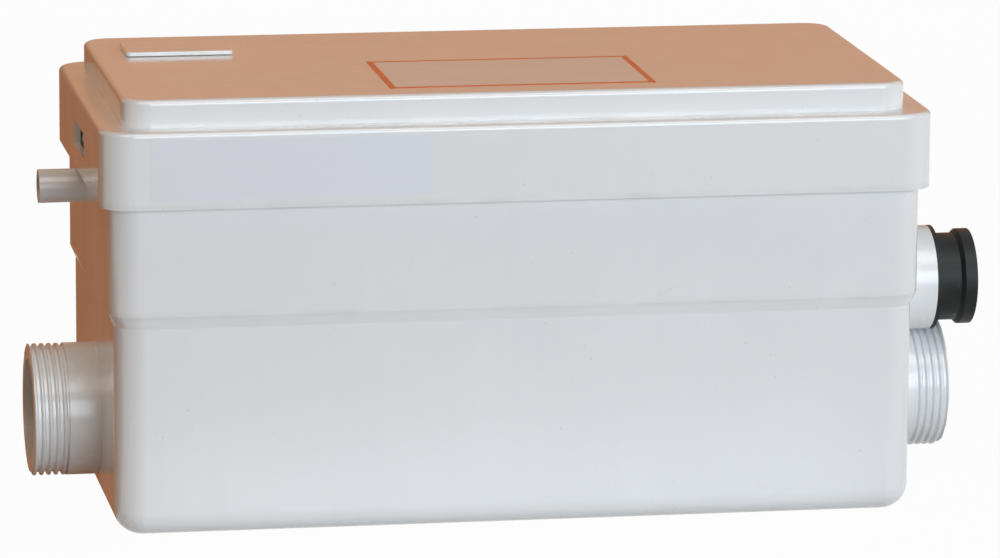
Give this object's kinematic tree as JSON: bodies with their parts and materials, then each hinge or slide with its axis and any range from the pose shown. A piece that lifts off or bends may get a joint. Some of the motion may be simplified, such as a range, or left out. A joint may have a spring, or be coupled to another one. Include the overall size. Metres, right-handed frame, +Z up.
{
  "type": "sewage lifting station",
  "caption": "Box-shaped waste water lifting station: threaded end inlets, rubber-sleeved discharge, vent nipple, lift-off cover, pump and level switch inside.",
  "frame": {"origin": "centre of the tank's flat underside", "axes": "+X along the tank to the discharge end, +Y to the back, +Z up"},
  "size_m": [0.3806, 0.1773, 0.1749],
  "materials": {
    "tank_plastic": "smooth moulded white, glossy",
    "cover_plastic": "smooth moulded white, glossy",
    "black_rubber": "matt moulded rubber",
    "grey_plastic": "satin moulded grey",
    "stainless": "bright stainless steel",
    "pump_plastic": "glass-filled black plastic",
    "motor_aluminium": "cast and lightly painted aluminium",
    "lamination_steel": "stacked steel laminations",
    "copper_winding": "varnished copper wire",
    "zinc_steel": "zinc-plated steel",
    "capacitor_can": "satin white plastic can",
    "terminal_plastic": "ivory plastic",
    "switch_plastic": "black plastic",
    "button_plastic": "red plastic",
    "gland_plastic": "dark grey nylon",
    "carbon_foam": "active carbon foam"
  },
  "bodies": {
    "station": {"tank": "tank_plastic", "inlet_spigot_left": "tank_plastic", "inlet_spigot_right": "tank_plastic", "discharge_socket": "tank_plastic", "vent_nipple": "tank_plastic", "cover_gasket": "black_rubber", "deck": "grey_plastic", "deck_screws": "stainless", "inlet_flap_pins": "stainless", "valve_housing": "grey_plastic", "outlet_flap_pin": "stainless", "outlet_sleeve": "black_rubber", "pump_feet": "black_rubber", "suction_plate": "pump_plastic", "volute_casing": "pump_plastic", "casing_screws": "stainless", "discharge_hose": "black_rubber", "hose_clamps": "stainless", "seal_plate": "motor_aluminium", "shaft_seal": "black_rubber", "lower_bearing": "stainless", "upper_bearing": "stainless", "motor_housing": "motor_aluminium", "motor_cap": "motor_aluminium", "tie_screws": "stainless", "stator_core": "lamination_steel", "stator_windings": "copper_winding", "pressure_bell": "grey_plastic", "switch_diaphragm": "black_rubber", "switch_cap": "grey_plastic", "microswitch": "switch_plastic", "switch_bracket": "zinc_steel", "run_capacitor": "capacitor_can", "capacitor_clip": "zinc_steel", "terminal_block": "terminal_plastic", "cable_gland": "gland_plastic", "gland_nut": "gland_plastic"},
    "cover": {"cover": "cover_plastic"},
    "vent_cover": {"vent_cover": "cover_plastic", "carbon_filter": "carbon_foam"},
    "rotor": {"shaft": "stainless", "rotor_core": "lamination_steel", "impeller": "grey_plastic", "impeller_nut": "stainless"},
    "inlet_flap_left": {"inlet_flap_left": "black_rubber"},
    "inlet_flap_right": {"inlet_flap_right": "black_rubber"},
    "outlet_flap": {"outlet_flap": "black_rubber"},
    "plunger": {"switch_plunger": "terminal_plastic"},
    "button": {"switch_button": "button_plastic"}
  },
  "joints": [
    {"name": "cover_lift", "type": "slide", "parent": "station", "child": "cover", "axis": [0, 0, 1], "range_m": [0, 0.06]},
    {"name": "vent_cover_lift", "type": "slide", "parent": "cover", "child": "vent_cover", "axis": [0, 0, 1], "range_m": [0, 0.03]},
    {"name": "motor_spin", "type": "hinge", "parent": "station", "child": "rotor", "pos_m": [0.03, 0.016, 0.06], "axis": [0, 0, 1], "continuous": true},
    {"name": "inlet_flap_left_swing", "type": "hinge", "parent": "station", "child": "inlet_flap_left", "pos_m": [-0.1537, -0.003, 0.0582], "axis": [0, -1, 0], "range_deg": [0, 50]},
    {"name": "inlet_flap_right_swing", "type": "hinge", "parent": "station", "child": "inlet_flap_right", "pos_m": [0.1537, -0.003, 0.0588], "axis": [0, 1, 0], "range_deg": [0, 50]},
    {"name": "outlet_flap_swing", "type": "hinge", "parent": "station", "child": "outlet_flap", "pos_m": [0.1396, -0.02, 0.0977], "axis": [0, -1, 0], "range_deg": [0, 60]},
    {"name": "plunger_press", "type": "slide", "parent": "station", "child": "plunger", "axis": [0, 0, 1], "range_m": [0, 0.0015], "stiffness_N_per_m": 400},
    {"name": "button_press", "type": "slide", "parent": "station", "child": "button", "axis": [0, 0, 1], "range_m": [0, 0.0015]}
  ],
  "couplings": [
    {"joint": "button_press", "follows": "plunger_press", "ratio": 1}
  ]
}
